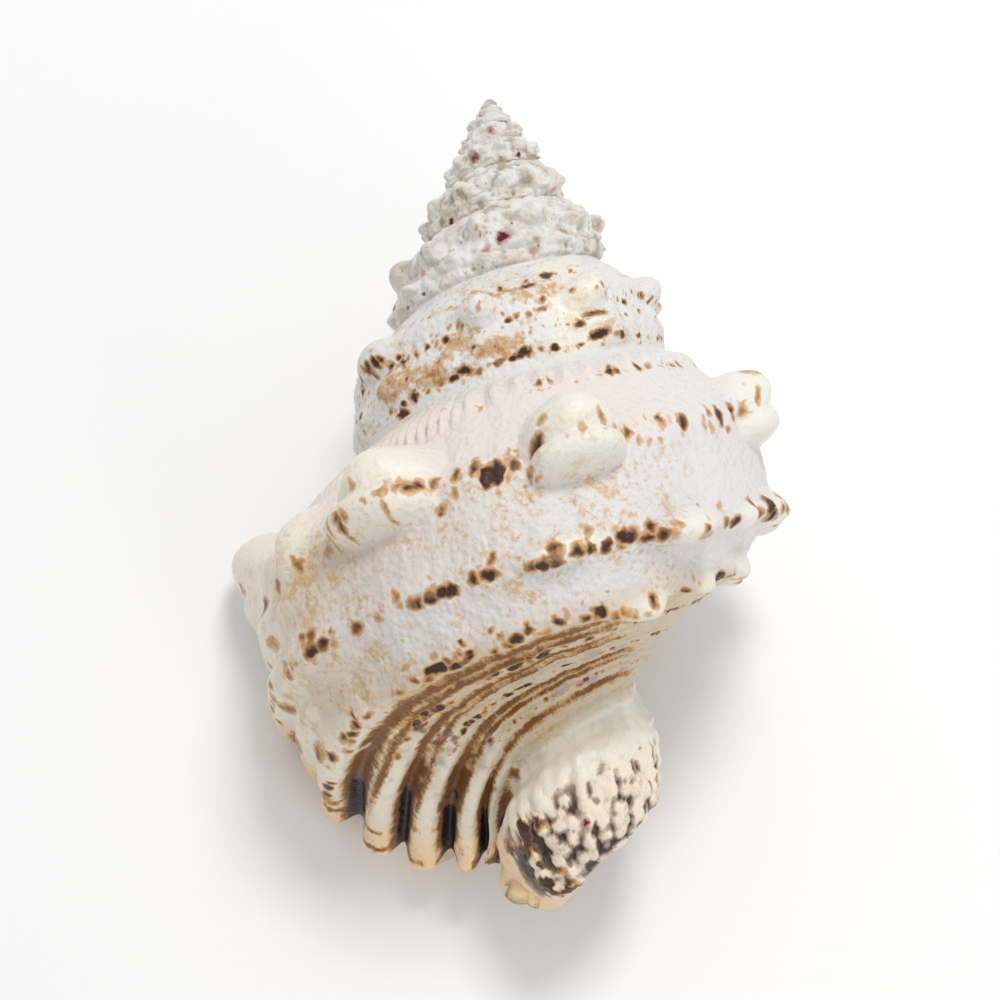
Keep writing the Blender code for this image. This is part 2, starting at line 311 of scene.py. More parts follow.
def lobed(back, station, place, row, along, across, share):
    """A knob of height 1 with a lower lobe, parted from the upper one by a crease."""
    down = (station - row - LOWER_LOBE) / (LOWER_LOBE_ACROSS * across)
    lower = np.clip(1.0 - (np.abs(back - place) / (0.9 * along)) ** 3 - down**2, 0.0, 1.0) ** 0.8
    return np.maximum(cap(back, station, place, row, along, across), share * lower)


def along_cord(back, at_lip, behind):
    """The station of a line that keeps to a cord, which shifts a little on its way to the lip."""
    return behind + (at_lip - behind) * (1.0 - smoothstep(back / CORD_DRIFT_REACH))


def flutes(back, station):
    """The round-topped folds of the lip, from 0 in the gaps to 1 on the folds."""
    height = np.zeros(np.broadcast(back, station).shape)
    for at_lip, behind, plain, more, width in CORDS[1:-1]:
        row = along_cord(back, at_lip, behind)
        height = np.maximum(height, np.exp(-((station - row) / width) ** 4))
    return height


def spire_nodules(back, station):
    dice = np.random.default_rng(3)
    height = np.zeros_like(back)
    for first, last, gap, row, size, along, across in NODULES:
        for place in np.arange(first, last, gap):
            place = place + gap * dice.uniform(-0.16, 0.16)
            grown = dice.uniform(0.65, 1.2, 3)
            at = row + dice.uniform(-0.25, 0.25)
            near = np.abs(back - place) < 2 * along
            bump = size * grown[0] * cap(back[near], station[near], place, at, along * grown[1],
                                         across * min(grown[2], 1.05), 0.2)
            height[near] = np.maximum(height[near], bump)
    return height


def sculpture(back, station):
    """Knobs, cords and varices over the smooth surface."""
    lip = smoothstep((FLUTES_FROM - back) / FLUTES_OVER)
    height = np.zeros_like(back)
    for at_lip, behind, plain, more, width in CORDS:
        away = (station - along_cord(back, at_lip, behind)) / width
        height += plain * np.exp(-(1.3 * away) ** 2) + more * lip * np.exp(-away ** 4)
    for place in VARICES:
        height += VARIX_HEIGHT * np.exp(-((back - place) / VARIX_WIDTH) ** 2)
    edge = np.where(back < OLD_LIP, 0.007, 0.030)
    height += OLD_LIP_HEIGHT * np.exp(-((back - OLD_LIP) / edge) ** 2) * window(station, 1.6, 4.2, 0.9)
    for place, row, size, along, across, share in KNOBS:
        height = height + size * lobed(back, station, place, row, along, across, share)
    for place, row, size, along, across in TUBERCLES:
        height = height + size * cap(back, station, place, row, along, across, STEEP_SIDE)
    return height + spire_nodules(back, station)


def calm(back, station, fade=SUTURE_FADE):
    """1 where the relief stands free, 0 at the sutures, at the axis and on the smooth inner lip."""
    free = smoothstep(station / fade) * smoothstep((AXIS - station) / AXIS_FADE)
    inner_lip = smoothstep((back - INNER_LIP_FROM) / INNER_LIP_OVER)
    return free * (1.0 - inner_lip * smoothstep((station - NEXT_SUTURE + fade) / fade))


highest = sculpture(np.array([0.325]), np.array([1.80]))[0]
print("the middle knob's relief is", round(float(highest), 1), "mm")

# %% [markdown]
# ## Beads, ribs and wear
#
# Between the cords the surface isn't smooth. Short ribs crenulate the edge below the suture, beads
# stud the ridge round the canal, and each pause in growth leaves a faint fold across the turn. The
# spire is older: its knobs are worn, pitted and crusted, so its roughness has a real size that
# doesn't shrink with the turns.

# %% Fine relief
RIBS_PER_TURN = 96
SUTURE_BEADS_PER_TURN = 50
RIBS_UNTIL = 0.27
RIB_HEIGHT = 1.9
BEAD_SIZE = 2.9
BEAD_HEIGHT = 1.7
GRANULE_SIZE = 2.3
GRANULE_HEIGHT = 0.34
THREADS_PER_STATION = 2.0
THREAD_HEIGHT = 0.22
FOLD_HEIGHT = 0.45
LINE_HEIGHT = 0.15
CRUST_FROM = 1.75
CRUST_OVER = 0.7
CRUST_FADE = 0.3
print(RIBS_PER_TURN, "ribs and", SUTURE_BEADS_PER_TURN, "beads a turn below the suture")


# %% The heights of the fine relief
def fine_relief(back, station, points):
    """Suture ribs, canal beads, granules, threads and growth folds, at the lip's size."""
    ribs = 0.5 + 0.5 * np.cos(2 * math.pi * RIBS_PER_TURN * (back + 0.004 * station))
    beads = 0.5 + 0.5 * np.cos(2 * math.pi * SUTURE_BEADS_PER_TURN * back)
    young = smoothstep((RIBS_UNTIL - back) / 0.04)
    height = RIB_HEIGHT * ribs * young * window(station, 0.20, 0.75, 0.35)
    height += RIB_HEIGHT * beads * (1.0 - young) * window(station, 0.35, 0.60, 0.25)
    height *= window(back, 0.0, 1.0, 0.1)
    beaded = window(station, 16.4, 18.3, 0.7) * smoothstep((back - 0.10) / 0.08)
    beaded = np.maximum(beaded, 0.35 * window(station, 14.8, 17.0, 0.6))
    height += BEAD_HEIGHT * pebbles(points, BEAD_SIZE, 51) * beaded
    granular = window(station, 0.9, 6.5, 0.8) * smoothstep(back / 0.15)
    height += GRANULE_HEIGHT * pebbles(points, GRANULE_SIZE, 52) ** 2 * granular
    threads = np.cos(2 * math.pi * THREADS_PER_STATION * station) * window(station, 6.0, 14.5, 0.8)
    height += THREAD_HEIGHT * threads * smoothstep((back - 0.10) / 0.08)
    growth = np.stack([back * 70.0, station * 0.35, np.zeros_like(back)], axis=-1)
    height += FOLD_HEIGHT * noise(growth, 1.0, 5) * smoothstep(back / 0.05)
    lines = np.stack([back * 260.0, station * 0.5, np.zeros_like(back)], axis=-1)
    return height + LINE_HEIGHT * noise(lines, 1.0, 6) * window(station, 1.0, 14.5, 0.5)


def crust(back, station, points):
    """Roughness of the worn spire, in millimetres as they are."""
    old = smoothstep((back - CRUST_FROM) / CRUST_OVER)
    rough = 0.75 * pebbles(points, 3.0, 11) + 0.40 * pebbles(points, 1.6, 12) + 0.45 * noise(points, 4.5, 13)
    pits = np.clip(noise(points, 1.5, 14) - 0.45, 0.0, 1.0)
    young = 0.12 * noise(points, 2.6, 15)
    return old * (rough - 1.8 * pits) * smoothstep((WHORLS - back) / 4.0) + (1.0 - old) * young


def surface(back, station):
    """The finished outer surface, in millimetres in the shell's own frame."""
    back, station = np.broadcast_arrays(np.asarray(back, float), np.asarray(station, float))
    points = smooth_surface(back, station)
    grown = EXPANSION ** -back * (sculpture(back, station) + fine_relief(back, station, points))
    worn = crust(back, station, points)
    height = calm(back, station) * grown + calm(back, station, CRUST_FADE) * worn
    return points + outward(back, station) * height[..., None]


middle_knob = surface(np.array([0.325]), np.array([1.88]))[0]
print("the middle knob's tip stands", round(float(middle_knob[2]), 1), "mm above the axis")

# %% [markdown]
# ## The hollow
#
# The aperture is oval, and the tube behind it follows the same spiral. Its outer side lies one wall
# thickness inside the outer surface, and its inner sides are the columella and the glazed parietal
# wall. Inside the outer lip there is a row of low teeth, and the columella has fine wrinkles.

# %% Sections of the hollow
HOLLOW_TURNS = 2.1
WALL = 4.2
LIP_WALL = 5.5
CANAL_WALL = 3.2
CANAL_WALL_OVER = 2.0
HOLLOW_TOP = 0.9
HOLLOW_FOOT_AT_LIP = 17.3
HOLLOW_FOOT = 12.5
FOOT_RISE = 0.16
COLUMELLA = [(12.0, 164.0), (10.0, 152.0), (10.5, 141.0), (13.0, 131.0)]
PARIETAL = [(13.0, 131.0), (16.5, 120.5), (22.0, 112.5), (29.5, 106.5), (37.0, 100.5), (43.0, 95.5)]
TOOTH = 1.3  # mm, as all heights here
TOOTH_PLACE = 0.022
TOOTH_REACH = 0.018
WRINKLE = 0.45
WRINKLES = 13


def hollow_loop(back, outer_count, columella_count, parietal_count):
    """One section of the hollow: down inside the outer wall, up the columella, up the parietal wall."""
    lip = 1.0 - smoothstep(back / FOOT_RISE)
    foot = HOLLOW_FOOT + (HOLLOW_FOOT_AT_LIP - HOLLOW_FOOT) * lip
    station = np.linspace(HOLLOW_TOP, foot, outer_count)
    turns = np.full(outer_count, back)
    line = section(turns, station)
    step = 0.01
    down = section(turns, station + step) - section(turns, station - step)
    normal = np.stack([down[:, 1], -down[:, 0]], axis=-1)
    normal /= np.linalg.norm(normal, axis=-1, keepdims=True)
    wall = WALL + (LIP_WALL - WALL) * lip
    wall = wall + (CANAL_WALL - wall) * smoothstep((station - LAST_CORD) / CANAL_WALL_OVER)
    teeth = (0.5 + 0.5 * np.cos(2 * math.pi * station)) * window(station, 2.5, 13.0, 0.5)
    wall = wall + TOOTH * teeth * np.exp(-((back - TOOTH_PLACE) / TOOTH_REACH) ** 2)
    outer = line - normal * wall[:, None]
    across = np.linspace(0, len(COLUMELLA), columella_count + 1)[1:]
    columella = spline([outer[-1]] + COLUMELLA, across)
    wrinkles = np.cos(2 * math.pi * WRINKLES * across / len(COLUMELLA)) * window(across, 1.0, 3.2, 0.8)
    columella[:, 0] += WRINKLE * wrinkles * lip
    parietal = spline(PARIETAL + [outer[0]], np.linspace(0, len(PARIETAL), parietal_count + 2)[1:-1])
    loop = np.vstack([outer, columella, parietal])
    return placed(loop, np.full(len(loop), back))


mouth = hollow_loop(0.02, 60, 20, 20)
print("the aperture is", round(float(np.ptp(mouth[:, 1])), 1), "mm high inside")

# %% [markdown]
# ## From flat grids to a wound shell
#
# Three grids make the shell: one for the spire, whose turns lie on each other at the sutures, one
# for the last turn down to the axis, and one for the lining. Each starts as the grid primitive. Its
# vertices are then moved to where the formulas say, and the two numbers that place a vertex are kept
# as its UV, which the colours use later. Where the grids meet they have the same points, so merging
# by distance closes the sutures, the rim and the lining in one go.

# %% The grids
STEPS = 672
ROWS = 13
LINING_UV = 30.0
LINING_UV_SPAN = 10.0
NOTCH = 0.007
NOTCH_REACH = 0.04


def deselect():
    for other in bpy.context.selected_objects:
        other.select_set(False)


def wound_grid(name, first, second, place):
    """A grid primitive with first values along X and second along Y, moved to place(first, second)."""
    deselect()
    bpy.ops.mesh.primitive_grid_add(x_subdivisions=len(first) - 1, y_subdivisions=len(second) - 1,
                                    calc_uvs=True)
    piece = bpy.context.object
    piece.name = name
    u, v = np.meshgrid(first, second)
    points = place(u, v) * MM
    piece.data.vertices.foreach_set("co", points.reshape(-1, 3).astype(np.float32).ravel())
    corners = np.empty(len(piece.data.loops), np.int32)
    piece.data.loops.foreach_get("vertex_index", corners)
    pairs = np.stack([u.ravel(), v.ravel()], axis=-1)[corners]
    piece.data.uv_layers.active.data.foreach_set("uv", pairs.astype(np.float32).ravel())
    return piece


def outer_place(back, station):
    notch = (1.0 - flutes(back, station)) * window(station, 6.0, 14.4, 0.4)
    back = back + NOTCH * notch * (1.0 - smoothstep(back / NOTCH_REACH))
    points = surface(back, station)
    points[station >= AXIS - 1e-9] *= (0.0, 1.0, 0.0)
    return points


spire_turns = WHORLS - np.arange(int((WHORLS - 1) * STEPS) + 1) / STEPS
body_turns = 1.0 - np.arange(STEPS + 1) / STEPS
spire_rows = np.arange(NEXT_SUTURE * ROWS + 1) / ROWS
body_rows = np.arange(AXIS * ROWS + 1) / ROWS
spire = wound_grid("spire", spire_turns, spire_rows, outer_place)
body = wound_grid("body", body_turns, body_rows, outer_place)
print("spire", len(spire.data.polygons), "faces, last turn", len(body.data.polygons), "faces")

# %% [markdown]
# The lining's first ring is the rim itself, read off the outer surface: down the lip, up the axis
# line under the columella, and along the inner lip. The next rings bulge forward between the flutes'
# ends and the first section of the hollow, because a grown lip is thick and round, never sharp.

# %% The lining
LIP_ROUND = 1.6
RIM_RINGS = 5
# Turns back of the hollow's sections, which lie closer together near the lip
ring_backs = np.concatenate([np.linspace(0.008, 0.12, 22), np.linspace(0.14, HOLLOW_TURNS, 90)])


def rim_points():
    outer = outer_place(np.zeros(len(body_rows)), body_rows)
    axis_turns = np.arange(1, STEPS + 1) / STEPS
    axis = outer_place(axis_turns, np.full(STEPS, float(AXIS)))
    inner_rows = body_rows[::-1][1:-NEXT_SUTURE * ROWS - 1]
    inner = outer_place(np.ones(len(inner_rows)), inner_rows)
    return [outer, axis, inner]


def lining_rings():
    outer, axis, inner = rim_points()
    rim = np.vstack([outer, axis, inner])
    hollow = [hollow_loop(back, len(outer), len(axis), len(inner)) for back in ring_backs]
    forward = np.array([-math.cos(LIP_ANGLE), 0.0, math.sin(LIP_ANGLE)])
    bulge = np.zeros(len(rim))
    bulge[: len(outer)] = smoothstep(body_rows / 1.0) * smoothstep((AXIS - body_rows) / 3.0)
    rounded = []
    for k in range(1, RIM_RINGS + 1):
        u = k / (RIM_RINGS + 1)
        ring = rim * (1 - u) + hollow[0] * u
        rounded.append(ring + forward * (LIP_ROUND * math.sin(math.pi * u) * bulge)[:, None])
    rings = np.array([rim] + rounded + hollow)
    return np.concatenate([rings, rings[:, :1]], axis=1)


rings = lining_rings()
print(len(rings), "rings of", rings.shape[1], "points")

# %% [markdown]
# The third grid is bent onto these rings. Its UV keeps how deep a point lies in the shell, and numbers
# of 30 and more, which no station has, so the colours can tell the inside from the outside.

# %% The lining's grid
ring_numbers = np.arange(rings.shape[0], dtype=float)
loop_numbers = np.arange(rings.shape[1], dtype=float)
lining = wound_grid("lining", loop_numbers, ring_numbers,
                    lambda around, ring: rings[ring.astype(int), around.astype(int)])
depths = np.concatenate([np.zeros(RIM_RINGS + 1), ring_backs])
corner_uv = np.empty(2 * len(lining.data.loops), np.float32)
lining.data.uv_layers.active.data.foreach_get("uv", corner_uv)
corner_uv = corner_uv.reshape(-1, 2)
around_share = corner_uv[:, 0] / loop_numbers[-1]
ring_depth = depths[corner_uv[:, 1].astype(int)]
lining_uv = np.stack([ring_depth, LINING_UV + LINING_UV_SPAN * around_share], axis=-1)
lining.data.uv_layers.active.data.foreach_set("uv", lining_uv.astype(np.float32).ravel())
print("lining", len(lining.data.polygons), "faces")

# %% [markdown]
# ## One closed shell
#
# The grids are joined, their shared points merged, and the two small holes filled: the point of the
# apex and the end of the lining. A fine grid spends as many faces on flat places as on beads, so a
# Decimate modifier then thins it where it is flat.

# %% Join, close and thin
MERGE = 0.000001
CONTACT = 0.0006
TRIANGLES = 196000

deselect()
for part in (spire, lining, body):
    part.select_set(True)
bpy.context.view_layer.objects.active = body
bpy.ops.object.join()
shell = bpy.context.object
shell.name = "frog_shell"
shell.data.name = "frog_shell"
bpy.ops.object.mode_set(mode="EDIT")
bpy.ops.mesh.select_all(action="SELECT")
bpy.ops.mesh.remove_doubles(threshold=MERGE)
bpy.ops.mesh.select_all(action="SELECT")
bpy.ops.mesh.fill_holes(sides=0)
bpy.ops.mesh.select_all(action="SELECT")
bpy.ops.mesh.normals_make_consistent(inside=False)
bpy.ops.object.mode_set(mode="OBJECT")
shell.data.transform(resting)
for vertex in shell.data.vertices:
    if vertex.co.z < CONTACT:
        vertex.co.z = CONTACT * math.exp(vertex.co.z / CONTACT - 1.0)
fine_triangles = sum(len(face.vertices) - 2 for face in shell.data.polygons)
if fine_triangles > TRIANGLES:
    thin = shell.modifiers.new("Thin", "DECIMATE")
    thin.ratio = TRIANGLES / fine_triangles
    thin.use_collapse_triangulate = True
    bpy.ops.object.modifier_apply(modifier=thin.name)
bpy.ops.object.shade_smooth()
print("shell:", fine_triangles, "triangles thinned to", len(shell.data.polygons))

# %% [markdown]
# ## Where the colours go
#
# The snail lays its colours down at the lip as it grows, so they keep to the same two numbers as the
# relief: brown spots in rows along the knobs, rust in the grooves, and dark gaps between the flutes.
# Each of these is a soft field from 0 to 1, worked out at every face corner from its UV and kept in
# four colour attributes. The material sharpens the fields with fine noise, so a spot's edge is
# crisper than the mesh.

# %% Turns, stations and sizes at every corner
corner_total = len(shell.data.loops)
uv = np.empty(2 * corner_total, np.float32)
shell.data.uv_layers.active.data.foreach_get("uv", uv)
turns_at, station_at = uv.reshape(-1, 2).astype(float).T
vertex_of = np.empty(corner_total, np.int32)
shell.data.loops.foreach_get("vertex_index", vertex_of)
own = np.empty(3 * len(shell.data.vertices), np.float32)
shell.data.vertices.foreach_get("co", own)
turn_back = np.array(resting.inverted())
own = (own.reshape(-1, 3) @ turn_back[:3, :3].T + turn_back[:3, 3]) / MM
own_at = own[vertex_of]
is_outer = station_at < (AXIS + LINING_UV) / 2
station_at = np.where(is_outer, np.clip(station_at, 0.0, AXIS), station_at)
print(corner_total, "corners,", round(100 * float(is_outer.mean())), "% of them outside")

# %% [markdown]
# A single mark has a size in millimetres, but the two numbers are turns and stations. So the length of
# a turn and of a station is measured where the mark lies. A wide field is simply given in turns and
# stations.

# %% Single marks and wide fields


def millimetres(back, station):
    """How long a whole turn and one station are at a place, in millimetres."""
    step = 1e-3
    b, s = np.array([back]), np.array([station])
    along = np.linalg.norm(smooth_surface(b + step, s) - smooth_surface(b - step, s)) / (2 * step)
    across = np.linalg.norm(smooth_surface(b, s + step) - smooth_surface(b, s - step)) / (2 * step)
    return along, across


def spot(field, back, station, along, across, strength=1.0, slant=0.0):
    """Raises field to strength at a place, falling to 0 at the given distances in millimetres."""
    turn, step = millimetres(back, station)
    near = np.nonzero(is_outer & (np.abs(turns_at - back) * turn < 2.0 * (along + across)))[0]
    down = (station_at[near] - station) * step
    on = (turns_at[near] - back) * turn + slant * down
    shape = strength * (1.0 - (on / along) ** 2 - (down / across) ** 2)
    field[near] = np.maximum(field[near], shape)


def patch(first, last, turn_fade, upper, lower, station_fade):
    """1 on the outside between two turns and two stations, falling to 0 over the fades."""
    across = window(station_at, upper, lower, station_fade) * is_outer
    return window(turns_at, first, last, turn_fade) * across


print("a turn at the shoulder is", round(millimetres(0.3, 2.0)[0]), "mm long")

# %% [markdown]
# ## Rows of brown spots
#
# The spots follow the cords. Painting each one on the mesh would give ragged spots, because the
# faces are as large as a spot is. So the mesh only says where a row runs, and the material breaks the
# row into single spots.

# %% Rows of brown spots
# Station at the lip and behind it, first and last turn, half width in stations, strength
SPOT_ROWS = [
    (2.60, 2.12, 0.05, 0.98, 0.46, 0.92),
    (4.50, 3.98, 0.05, 0.98, 0.36, 1.00),
    (4.10, 3.72, 0.10, 0.98, 0.22, 0.55),
    (6.60, 5.85, 0.03, 0.96, 0.30, 1.00),
    (6.20, 5.50, 0.10, 0.96, 0.22, 0.50),
    (8.40, 7.25, 0.12, 0.95, 0.32, 1.05),
    (10.2, 9.25, 0.14, 0.95, 0.32, 1.05),
    (12.2, 11.5, 0.17, 0.90, 0.30, 0.80),
    (0.75, 0.75, 0.24, 0.98, 0.16, 0.66),
    (2.75, 2.75, 1.02, 1.85, 0.60, 0.80),
    (3.60, 3.60, 1.02, 1.85, 0.32, 0.62),
    (4.55, 4.55, 1.02, 1.85, 0.34, 0.95),
    (1.50, 1.50, 1.02, 1.85, 0.30, 0.60),
    (2.60, 2.60, 1.85, 5.00, 0.40, 0.50),
    (4.60, 4.60, 1.85, 5.00, 0.30, 0.62),
]
SPOTS_PER_TURN = 112.0
SPOTS_PER_STATION = 2.5

spotted = np.zeros(corner_total)
clumps = 0.85 + 0.35 * noise(own_at, 9.0, 21)
for at_lip, behind, first, last, half_width, strength in SPOT_ROWS:
    away = (station_at - along_cord(turns_at, at_lip, behind)) / half_width
    reach = window(turns_at, first, last, 0.03)
    spotted = np.maximum(spotted, strength * clumps * np.clip(1.0 - away**2, 0.0, 1.0) * reach)
spotted[~is_outer] = 0.0
brown = np.zeros(corner_total)
print(len(SPOT_ROWS), "rows of spots on", round(100 * float((spotted > 0.2).mean()), 1), "% of the corners")

# %% [markdown]
# ## Rust and dark gaps
#
# Rust-brown lines run in the grooves of the base and widen towards the lip. Between the flutes the
# edge is nearly black. Both keep to the flutes' own height, so that colour and form can't drift apart.

# %% Rust in the grooves
# Station at the lip and behind it, half width in stations, and the turn where the rust ends
GROOVES = [(7.50, 6.50, 0.28, 0.33), (8.10, 6.95, 0.15, 0.34), (9.20, 8.05, 0.30, 0.34),
           (9.80, 8.55, 0.14, 0.36), (11.15, 10.30, 0.31, 0.38), (11.70, 10.85, 0.15, 0.36),
           (13.15, 12.50, 0.28, 0.40)]
ragged = noise(own_at, 3.0, 22)
rust = np.zeros(corner_total)
for at_lip, behind, width, last in GROOVES:
    middle = along_cord(turns_at, at_lip, behind)
    groove = np.exp(-((station_at - middle) / width) ** 2)
    rust = np.maximum(rust, groove * window(turns_at, 0.10, last - 0.05, 0.10) * (0.9 + 0.35 * ragged))
print("rust lines in", len(GROOVES), "grooves")

# %% [markdown]
# Near the lip the rust spreads over the sides of the flutes, with fine lines across their tops, and
# the gaps are dark down to the edge.

# %% Rust and dark gaps at the lip
folds = flutes(turns_at, station_at)
fluted = window(station_at, 6.3, 14.5, 0.4)
upper_edge = window(station_at, 4.6, 6.3, 0.5) * smoothstep((0.030 - turns_at) / 0.02)
near_lip = smoothstep((0.150 + 0.03 * ragged - turns_at) / 0.06)
rust = np.maximum(rust, smoothstep((0.97 + 0.10 * ragged - folds) / 0.55) * near_lip * fluted)
dark = smoothstep((0.62 - folds) / 0.35) * smoothstep((0.085 + 0.02 * ragged - turns_at) / 0.045) * fluted
upper_gaps = window(station_at, 4.4, 6.4, 0.4) * smoothstep((0.024 + 0.006 * ragged - turns_at) / 0.014)
dark = np.maximum(dark, smoothstep((0.50 - folds) / 0.3) * upper_gaps)
rim_lines = noise(np.stack([turns_at * 330.0, station_at * 0.6, 0 * turns_at], axis=-1), 1.0, 23)
lines_near = smoothstep((0.055 - turns_at) / 0.04) * fluted
rust = np.maximum(rust, 0.75 * smoothstep((rim_lines - 0.25) / 0.3) * lines_near)
rust = np.maximum(rust, smoothstep((0.95 - folds) / 0.5) * upper_edge)
rust[~is_outer] = 0.0
dark[~is_outer] = 0.0
print("rust on", round(100 * float((rust > 0.4).mean()), 1), "% and dark on",
      round(100 * float((dark > 0.4).mean()), 1), "% of the corners")

# %% [markdown]
# ## The canal's mottling
#
# The canal's ridge is beaded, and its dark colour lies between the beads. So it reads the height of
# the fine relief, as dirt does further on.

# %% Dark between the canal's beads
outer_station = np.minimum(station_at, AXIS)
smooth_at = smooth_surface(turns_at, outer_station)
relief_at = fine_relief(turns_at, outer_station, smooth_at)
mottle = noise(own_at, 4.2, 31) + 0.6 * noise(own_at, 1.6, 32)
small_mottle = noise(own_at, 2.4, 33) + 0.4 * noise(own_at, 1.2, 34)
between_beads = smoothstep((0.62 - relief_at / BEAD_HEIGHT) / 0.5)
canal = patch(0.13, 0.55, 0.05, 16.6, 18.5, 0.6)
dark = np.maximum(dark, canal * (0.15 + 0.75 * between_beads) * smoothstep((mottle + 0.50) / 0.8))
tip_band = patch(0.120, 0.190, 0.03, 16.4, 18.8, 0.4)
brown = np.maximum(brown, 1.05 * tip_band * smoothstep((small_mottle + 0.12) / 0.4))
print("beads stand", round(float(relief_at.max()), 1), "mm high at most")

# %% [markdown]
# ## Single marks
#
# Some marks come once only: the rose and crimson spots where something else grew on the shell, the
# hooks where the flutes begin, and the squares above the last suture. A short list places them.

# %% Rose spots and hooks
rose = np.zeros(corner_total)
# Turns back, station, size in mm and strength of the rose and crimson spots
ROSES = [(2.311, 3.24, 2.3, 1.0), (4.237, 3.05, 1.6, 0.7), (4.395, 4.13, 1.0, 0.8), (3.191, 4.73, 1.3, 0.9),
         (2.285, 3.67, 1.6, 0.6), (2.354, 4.48, 1.4, 0.5), (3.46, 4.1, 1.6, 0.5), (2.18, 3.3, 1.3, 0.5),
         (5.30, 3.0, 1.2, 0.6), (0.140, 8.78, 1.5, 0.7), (0.156, 11.27, 1.5, 0.7), (0.270, 17.0, 1.6, 0.8),
         (0.300, 11.6, 1.5, 0.7), (0.105, 13.4, 1.0, 0.7), (0.265, 6.6, 1.3, 0.6), (0.197, 6.9, 1.3, 0.6)]
for place, row, size, power in ROSES:
    spot(rose, place, row, size, size, power)
HOOKS = [(0.150, 7.75), (0.148, 9.05), (0.163, 10.75)]
HOOK = (1.2, 3.6, 0.55, 0.8)  # reach along the turn and across in mm, strength and slant
for place, row in HOOKS:
    spot(dark, place, row, *HOOK)
print(len(ROSES), "rose spots and", len(HOOKS), "hooks")

# %% Dark squares and amber smears
# Turns back, station, and reach along the turn and across, in mm
MARKS = [(1.182, 4.85, 1.8, 1.5), (1.200, 4.60, 1.3, 1.3), (1.255, 4.35, 2.2, 1.4), (1.312, 4.40, 2.0, 1.2),
         (1.388, 3.47, 3.6, 1.2), (1.388, 4.38, 3.6, 1.2), (1.370, 3.80, 1.6, 1.0), (1.150, 2.60, 1.8, 1.1),
         (1.190, 2.95, 1.5, 1.1), (1.330, 1.75, 2.2, 1.4), (1.355, 1.30, 2.0, 1.6)]
MARK_STRENGTH = 1.1
for place, row, along, across in MARKS:
    spot(brown, place, row, along, across, MARK_STRENGTH)
# The same and the strength, for amber smears on the lip, the knobs and the turn above
SMEARS = [(0.070, 2.75, 5.5, 3.4, 0.72), (0.085, 3.50, 4.5, 2.4, 0.55), (0.070, 4.70, 5.0, 2.4, 0.60),
          (0.045, 5.30, 4.0, 2.6, 0.66), (0.090, 5.90, 5.0, 2.0, 0.55), (0.190, 1.30, 3.0, 1.2, 0.30),
          (0.030, 3.60, 3.0, 3.0, 0.45), (0.020, 2.30, 2.5, 2.0, 0.40), (0.030, 4.55, 3.0, 1.6, 0.60),
          (1.225, 3.90, 9.0, 5.5, 0.30), (1.290, 3.85, 8.0, 5.0, 0.28), (1.180, 3.60, 7.0, 5.0, 0.30),
          (1.250, 3.10, 8.0, 3.0, 0.26), (1.330, 2.10, 9.0, 3.4, 0.30), (1.280, 1.70, 9.0, 3.4, 0.28),
          (0.395, 4.20, 3.5, 1.2, 0.34), (0.500, 1.70, 3.0, 2.0, 0.36)]
for place, row, along, across, power in SMEARS:
    spot(brown, place, row, along, across, power)
print(len(MARKS), "dark marks and", len(SMEARS), "smears")

# %% [markdown]
# ## The grounds
#
# Under the markings the shell isn't one white. It is lilac grey between the rows, pink on the ramp
# below the suture, cream on the knobs and at the lip, peach at the tip, and chalky on the old spire.

# %% Lilac body, pink ramp and cream knobs
lilac = patch(0.20, 0.62, 0.10, 2.4, 5.6, 0.6)
pink = patch(0.12, 0.36, 0.08, 0.7, 1.9, 0.4)
cream = np.zeros(corner_total)
for place, row, height, along, across, share in KNOBS:
    top = lobed(turns_at, station_at, place, row, 1.15 * along, 1.15 * across, share)
    cream = np.maximum(cream, smoothstep(1.3 * top))
for place, row, height, along, across in TUBERCLES:
    cream = np.maximum(cream, smoothstep(1.6 * cap(turns_at, station_at, place, row, along, across)))
print("cream on", round(100 * float((cream > 0.5).mean()), 1), "% of the corners")

# %% Cream and peach at the lip and the canal
old_lip = patch(1.355, 1.385, 0.02, 0.6, 4.8, 0.4)
cream = np.maximum(cream, old_lip)
lip_cream = smoothstep((0.14 + 0.03 * ragged - turns_at) / 0.07) * window(station_at, 0.8, 6.5, 0.6)
folded = smoothstep((0.20 + 0.03 * ragged - turns_at) / 0.10) * window(station_at, 6.0, 15.5, 0.6)
cream = np.maximum(cream, np.maximum(lip_cream, 0.9 * folded)) * is_outer
canal_cream = patch(0.0, 0.6, 0.1, 14.6, 18.2, 0.6)
cream = np.maximum(cream, canal_cream)
peach = smoothstep((0.115 - turns_at) / 0.03) * window(station_at, 16.0, 19.0, 0.4)
lip_peach = smoothstep((0.050 - turns_at) / 0.04) * window(station_at, 4.2, 15.0, 0.6)
beads_peach = 0.35 * patch(0.10, 0.50, 0.05, 16.5, 18.5, 0.5)
peach = np.maximum(np.maximum(peach, lip_peach), beads_peach) * is_outer
FLAKE = (2.335, 4.70, 5.0, 2.0, 1.5)  # turns back, station, reaches in mm and strength
spot(peach, *FLAKE)
print("peach on", round(100 * float((peach > 0.5).mean()), 1), "% of the corners")

# %% [markdown]
# Amber flecks dust the last turns, and towards the lip everything is warmer. What is worn is chalky,
# and dirt sits in its pits and along its sutures.

